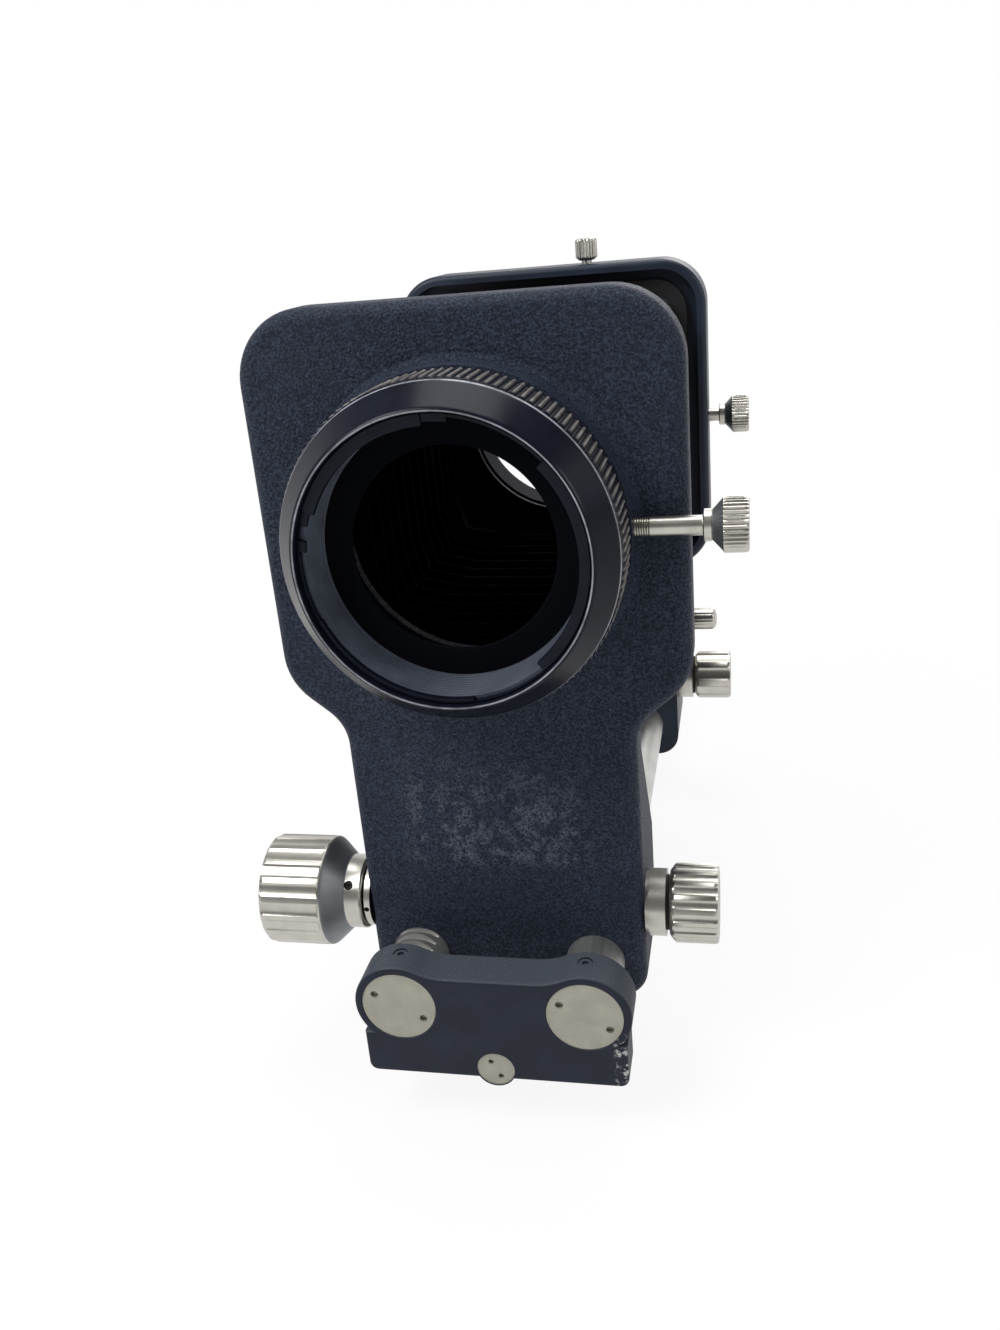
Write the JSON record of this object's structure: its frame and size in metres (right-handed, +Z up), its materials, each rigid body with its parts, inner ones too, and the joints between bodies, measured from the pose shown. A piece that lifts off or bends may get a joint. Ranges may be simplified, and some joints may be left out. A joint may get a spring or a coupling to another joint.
{
  "type": "macro bellows unit",
  "caption": "Macro bellows unit: two standards on twin round rails, joined by a pleated bellows, with rack focusing knobs, lens and camera mounts, and a sliding tripod block.",
  "frame": {"origin": "mouth of the tripod socket, on the flat underside of the tripod block", "axes": "+Z up; +Y from the lens end to the camera end, along the rails; +X to the right as seen from the lens end"},
  "size_m": [0.1018, 0.2105, 0.1636],
  "materials": {
    "stippled_black": "fine stippled black paint",
    "satin_black": "satin black paint",
    "black_anodised": "satin black anodised aluminium",
    "satin_nickel": "turned and satin plated",
    "rail_steel": "ground steel",
    "pale_cap": "matt pale plating",
    "dark_steel": "blackened steel",
    "gear_brass": "machined brass",
    "fibre": "pressed fibre",
    "bellows_cloth": "black rubberised cloth"
  },
  "bodies": {
    "bed": {"left_rail": "rail_steel", "right_rail": "rail_steel", "lower_rod": "rail_steel", "front_end_block": "stippled_black", "rear_end_block": "stippled_black", "rail_end_caps": "pale_cap", "rod_end_caps": "pale_cap", "end_block_set_screws": "dark_steel", "bellows": "bellows_cloth"},
    "front_carriage": {"front_standard": "stippled_black", "front_bellows_frame": "satin_black", "front_left_bush": "satin_nickel", "front_right_bush": "satin_nickel", "front_collar_set_screw": "dark_steel", "front_friction_washer": "fibre"},
    "front_mount": {"front_mount_ring": "black_anodised", "front_bayonet_ring": "black_anodised", "front_throat_baffle": "black_anodised"},
    "front_thumbscrew": {"front_mount_screw": "satin_nickel"},
    "front_drive": {"front_drive_knob": "satin_nickel", "front_knob_set_screw": "dark_steel", "front_cross_shaft": "rail_steel", "front_pinion": "gear_brass"},
    "front_lock": {"front_lock_knob": "satin_nickel"},
    "rear_carriage": {"rear_standard": "satin_black", "rear_bellows_frame": "satin_black", "rear_left_bush": "satin_nickel", "rear_right_bush": "satin_nickel", "rear_collar_set_screw": "dark_steel", "rear_friction_washer": "fibre"},
    "rear_mount": {"camera_mount": "satin_nickel"},
    "rear_thumbscrew": {"rear_mount_screw": "satin_nickel"},
    "frame_screw": {"top_frame_screw": "satin_nickel"},
    "neck_screw": {"rear_neck_screw": "satin_nickel"},
    "rear_drive": {"rear_drive_knob": "satin_nickel", "rear_knob_set_screw": "dark_steel", "rear_cross_shaft": "rail_steel", "rear_pinion": "gear_brass"},
    "rear_lock": {"rear_lock_knob": "satin_nickel"},
    "tripod_carriage": {"tripod_block": "stippled_black", "tripod_socket_insert": "gear_brass", "tripod_clamp_pad": "gear_brass"},
    "tripod_clamp": {"tripod_clamp_knob": "satin_nickel"}
  },
  "joints": [
    {"name": "front_focus_slide", "type": "slide", "parent": "bed", "child": "front_carriage", "axis": [0, 1, 0], "range_m": [-0.0095, 0.02], "deforming": ["bellows"]},
    {"name": "rear_focus_slide", "type": "slide", "parent": "bed", "child": "rear_carriage", "axis": [0, 1, 0], "range_m": [-0.022, 0.038], "deforming": ["bellows"]},
    {"name": "tripod_slide", "type": "slide", "parent": "bed", "child": "tripod_carriage", "axis": [0, 1, 0], "range_m": [-0.006, 0.006]},
    {"name": "front_drive_turn", "type": "hinge", "parent": "front_carriage", "child": "front_drive", "pos_m": [0, -0.062, 0.0372], "axis": [1, 0, 0], "range_deg": [-240, 115]},
    {"name": "rear_drive_turn", "type": "hinge", "parent": "rear_carriage", "child": "rear_drive", "pos_m": [0, 0.06115, 0.0372], "axis": [1, 0, 0], "range_deg": [-455, 265]},
    {"name": "front_lock_turn", "type": "hinge", "parent": "front_carriage", "child": "front_lock", "pos_m": [0, -0.062, 0.0372], "axis": [1, 0, 0], "range_deg": [0, 180]},
    {"name": "rear_lock_turn", "type": "hinge", "parent": "rear_carriage", "child": "rear_lock", "pos_m": [0, 0.06115, 0.0372], "axis": [1, 0, 0], "range_deg": [0, 180]},
    {"name": "front_mount_turn", "type": "hinge", "parent": "front_carriage", "child": "front_mount", "pos_m": [0, -0.069, 0.118], "axis": [0, 1, 0], "continuous": true},
    {"name": "front_thumbscrew_turn", "type": "hinge", "parent": "front_carriage", "child": "front_thumbscrew", "pos_m": [0.03, -0.0713, 0.1188], "axis": [1, 0, 0], "range_deg": [0, 270]},
    {"name": "camera_mount_turn", "type": "hinge", "parent": "rear_carriage", "child": "rear_mount", "pos_m": [0, 0.044, 0.118], "axis": [0, 1, 0], "range_deg": [0, 90]},
    {"name": "rear_thumbscrew_turn", "type": "hinge", "parent": "rear_carriage", "child": "rear_thumbscrew", "pos_m": [0.03, 0.047, 0.1172], "axis": [1, 0, 0], "range_deg": [0, 270]},
    {"name": "frame_screw_turn", "type": "hinge", "parent": "rear_carriage", "child": "frame_screw", "pos_m": [0.01, 0.041, 0.158], "axis": [0, 0, 1], "range_deg": [0, 270]},
    {"name": "neck_screw_turn", "type": "hinge", "parent": "rear_carriage", "child": "neck_screw", "pos_m": [0.03, 0.055, 0.0572], "axis": [1, 0, 0], "range_deg": [0, 270]},
    {"name": "tripod_clamp_turn", "type": "hinge", "parent": "tripod_carriage", "child": "tripod_clamp", "pos_m": [-0.025, 0, 0.0133], "axis": [1, 0, 0], "range_deg": [0, 180]}
  ],
  "couplings": [
    {"joint": "front_drive_turn", "follows": "front_focus_slide", "rad_per_m": -208.33},
    {"joint": "rear_drive_turn", "follows": "rear_focus_slide", "rad_per_m": -208.33}
  ]
}
